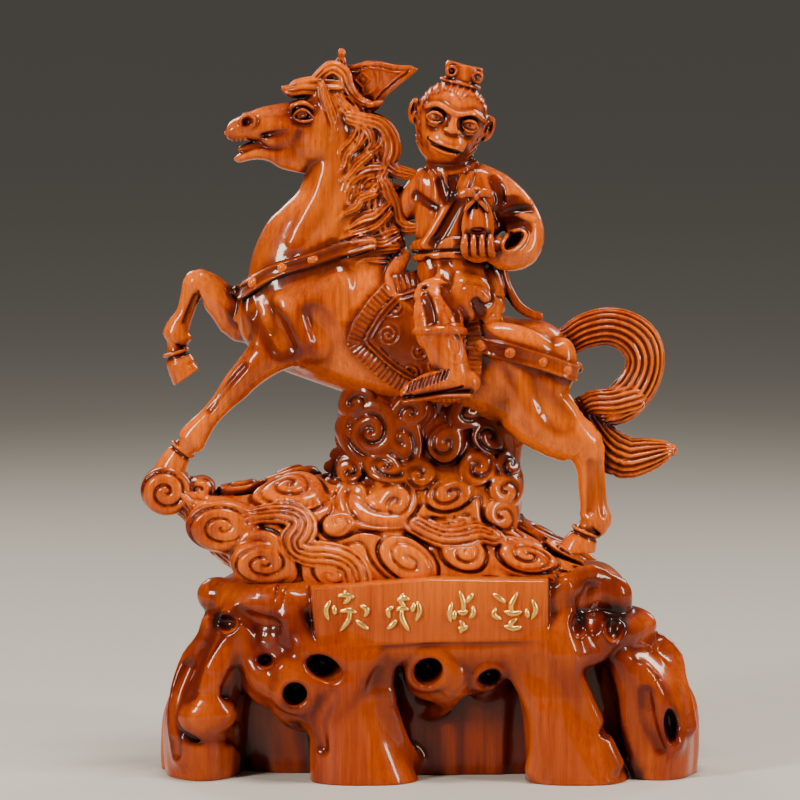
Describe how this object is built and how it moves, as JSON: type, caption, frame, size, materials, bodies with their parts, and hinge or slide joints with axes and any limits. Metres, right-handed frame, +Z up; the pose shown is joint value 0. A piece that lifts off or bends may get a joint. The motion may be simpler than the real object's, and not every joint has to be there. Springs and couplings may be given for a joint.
{
  "type": "carved rosewood figure of a monkey on horseback",
  "caption": "Carved rosewood monkey in an official's robe riding a rearing horse over scrolled clouds, on a pierced root-stump base with a plaque.",
  "frame": {"origin": "on the table plane under the middle of the base's bounding box", "axes": "+Z up; -Y is the front, the horse's near side and the plaque; the horse faces -X"},
  "size_m": [0.309, 0.1179, 0.3985],
  "materials": {
    "rosewood": "high-gloss clear lacquer over red-brown rosewood"
  },
  "bodies": {
    "root": {"monkey_on_horse_carving": "rosewood"}
  },
  "joints": []
}
